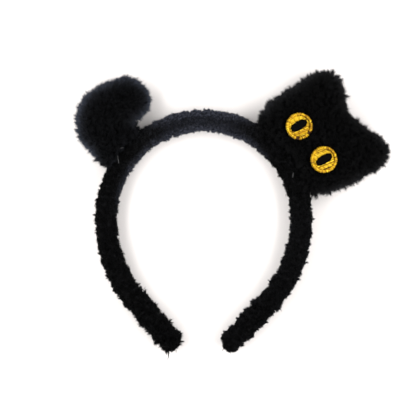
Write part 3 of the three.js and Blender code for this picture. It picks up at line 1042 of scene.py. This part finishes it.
SEAM_RADIUS = CROWN_RADIUS + 7.2 * MM
STITCH_PITCH = 2.4 * MM
GLINT_HEIGHT = 17.9 * MM
SEAM_THREAD_RADIUS = 0.16 * MM
TIP_THREAD_RADIUS = 0.17 * MM


def arc_points(radius, degrees, height):
    angle = np.radians(degrees)
    return np.column_stack([ARCH[0] + radius * np.cos(angle), ARCH[1] + radius * np.sin(angle), height])


def make_seam(name, node, start, stop, glints, rng):
    """Ladder stitches down a seam gap, with short ends that show at its front in a paler grey, which is partly
    a painted glint.

    A seam runs between two angles, in degrees about the arch's middle. A glint is its angle, its radius,
    its length and its turn in radians.
    """
    turns = round(abs(math.radians(stop - start)) * SEAM_RADIUS / STITCH_PITCH) * 2
    share = np.linspace(0, 1, turns * 6 + 1)
    swing = np.sin(share * turns * math.pi)
    wander = smoothed(rng.normal(size=len(share)), 6) * 0.3 * MM
    paths = [arc_points(SEAM_RADIUS + wander, start + (stop - start) * share, BAND_MID + 5.2 * MM * swing)]
    for degrees, radius, length, turn in glints:
        t = np.linspace(-0.5, 0.5, 8)
        root = arc_points(np.array([radius]), np.array([degrees]), np.array([GLINT_HEIGHT]))[0]
        rise = 0.5 * MM * np.cos(t * math.pi) * rng.random()
        bow = np.column_stack([np.cos(turn) * length * t, np.sin(turn) * length * t, rise])
        paths.append(root + bow)
    obj = tubes(name, paths, SEAM_THREAD_RADIUS, [SEWING_BLACK, NYLON_GLINT], [0] + [1] * len(glints))
    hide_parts(node)
    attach(obj, "band")


def knot_path(middle, size, rng):
    """A small overhand knot as one wound thread."""
    t = np.linspace(0, TAU, 60)
    knot = np.column_stack([np.sin(t) + 2 * np.sin(2 * t), np.cos(t) - 2 * np.cos(2 * t), -np.sin(3 * t)]) / 3
    return middle + knot * size + rng.normal(size=3) * 0.02 * MM


def make_tip(side, rng):
    """The knot at the end of one arm, with its short thread ends."""
    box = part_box("tip_knot_" + side)
    middle = (np.array(box[0]) + np.array(box[1])) / 2
    way = -1 if side == "left" else 1
    outward = arch_line([way * HALF_LENGTH])[1][0]
    away = np.array([outward[1], -outward[0], 0]) * way
    paths = [knot_path(middle, 0.75 * MM, rng)]
    for _ in range(3):
        t = np.linspace(0, 1, 6)[:, None]
        bend = rng.normal(size=3) * 0.5 * MM
        paths.append(middle + away * t * (1.6 * MM) * rng.random() + bend * t**2)
    obj = tubes("tip_knot_thread_" + side, paths, TIP_THREAD_RADIUS, [SEWING_BLACK])
    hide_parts("tip_knot_" + side)
    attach(obj, side + "_arm")


def make_loose_thread():
    """The short end of thread that hangs off the left tip, thick at its root and drawn to a point."""
    box = np.array(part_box("loose_thread_left"))
    start = np.array([box[:, 0].mean(), box[1, 1] + 1 * MM, box[1, 2] - 0.3 * MM])
    end = np.array([box[:, 0].mean() - 0.2 * MM, box[0, 1] - 2 * MM, box[0, 2] + 0.3 * MM])
    t = np.linspace(0, 1, 12)[:, None]
    path = start + (end - start) * t + np.array([0.35 * MM, 0, 0.2 * MM]) * np.sin(t * math.pi)
    points, quads, caps = tube_parts(path, np.linspace(0.6, 0.12, len(path)) * MM)
    obj = new_mesh("loose_thread_end_left", points, [quads, caps], [SEWING_BLACK])
    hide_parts("loose_thread_left")
    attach(obj, "left_arm")


# ---------------------------------------------------------------- the stage

CAMERA_ROLL = math.radians(1.45)
VIEW_CENTRE = np.array([2.545, 6.206]) * MM
VIEW_WIDTH = 249.6 * MM
CAMERA_HEIGHT = 0.8
OUTLINE_HEIGHT = 0.0105
SENSOR_WIDTH = 36
LIGHT_PLACE = (0.22, 0, 0.26)
LIGHT_SIZE = (0.5, 0.14)
LIGHT_WATTS = 1.25


def make_camera():
    """A camera straight above, which frames VIEW_WIDTH at the height of the widest outline."""
    data = bpy.data.cameras.new("camera")
    data.lens = SENSOR_WIDTH * (CAMERA_HEIGHT - OUTLINE_HEIGHT) / VIEW_WIDTH
    data.clip_start = 0.05
    camera = bpy.data.objects.new("camera", data)
    x, y = ARCH + turned_2d(VIEW_CENTRE, CAMERA_ROLL)
    camera.location = (x, y, CAMERA_HEIGHT)
    camera.rotation_euler = (0, 0, CAMERA_ROLL)
    bpy.context.scene.collection.objects.link(camera)
    bpy.context.scene.camera = camera


def make_light(name, place):
    """A long soft light that faces the object."""
    data = bpy.data.lights.new(name, "AREA")
    data.shape = "RECTANGLE"
    data.size, data.size_y = LIGHT_SIZE
    data.energy = LIGHT_WATTS
    light = bpy.data.objects.new(name, data)
    light.location = place
    light.rotation_euler = (Vector((0, 0, 0.01)) - Vector(place)).to_track_quat("-Z", "Y").to_euler()
    bpy.context.scene.collection.objects.link(light)


def make_stage():
    """The pale floor, the soft light all round, and a long light on each side of the headband."""
    bpy.ops.mesh.primitive_plane_add(size=6)
    floor = bpy.context.object
    floor.name = "floor"
    floor.data.materials.append(principled("pale_paper", (0.79, 0.756, 0.738), 0.9, 0.05))
    world = bpy.data.worlds.new("studio")
    world.use_nodes = True
    world.node_tree.nodes["Background"].inputs["Color"].default_value = (1, 1, 1, 1)
    world.node_tree.nodes["Background"].inputs["Strength"].default_value = 0.84
    bpy.context.scene.world = world
    bpy.context.scene.view_settings.view_transform = "Standard"
    x, y, z = LIGHT_PLACE
    make_light("left_light", (-x, y, z))
    make_light("right_light", (x, y, z))


# ---------------------------------------------------------------- making it all

make_camera()
make_stage()

SKINS = {
    "head": Skin(HEAD, front=8.4 * MM, back=8 * MM, crowned=14 * MM, inset=2.2 * MM),
    "tail": Skin(TAIL, front=7 * MM, back=8 * MM, crowned=11 * MM, inset=1.5 * MM),
}

random = np.random.default_rng(20)
for stretch, pile_count in (("crown", 39800), ("left", 29800), ("right", 29800)):
    make_sleeve(stretch, random, pile_count)
for side in ("left", "right"):
    make_inside(side)

make_pile(
    HEAD, make_stuffed(HEAD), random, HEAD_PILE, "head_plush", (59700, 39800),
    away_from_eyes, 1.7 * MM, length=3.7 * MM, gather=0.35, twist=1.6, lean=0.3, curl=0.6 * MM,
    radius=0.1 * MM, uneven=0.3, stray=0.35, level=head_painted_sheen, growth=tufted(3.2 * MM, 0.6),
)
make_pile(
    TAIL, make_stuffed(TAIL), random, TAIL_PILE, "tail_plush", (39800, 19900),
    None, 1.3 * MM, length=3.6 * MM, gather=0.3, twist=0.8, lean=0.25, curl=0.35 * MM, radius=0.1 * MM,
    uneven=0.3, stray=0.35, level=tail_painted_sheen, comb=tail_comb, growth=tufted(2 * MM, 0.6),
)
for side in ("left", "right"):
    make_eye(side, random)
    make_tip(side, random)
make_loose_thread()
make_seam("head_seam_stitches", "head_seam_thread", 58.5, 19.5, [(27.4, 59 * MM, 3 * MM, 1.5)], random)
TAIL_GLINTS = [(140.7, 64.2 * MM, 1.8 * MM, 0.2), (146.9, 61.7 * MM, 4.6 * MM, 1.75)]
make_seam("tail_seam_stitches", "tail_seam_thread", 129.5, 151.5, TAIL_GLINTS, random)

for name in ("core_strip_crown", "foam_wrap_crown"):
    node = frame["nodes"][name]
    node.data.materials.clear()
    node.data.materials.append(CORE_PLASTIC if name.startswith("core") else FOAM)
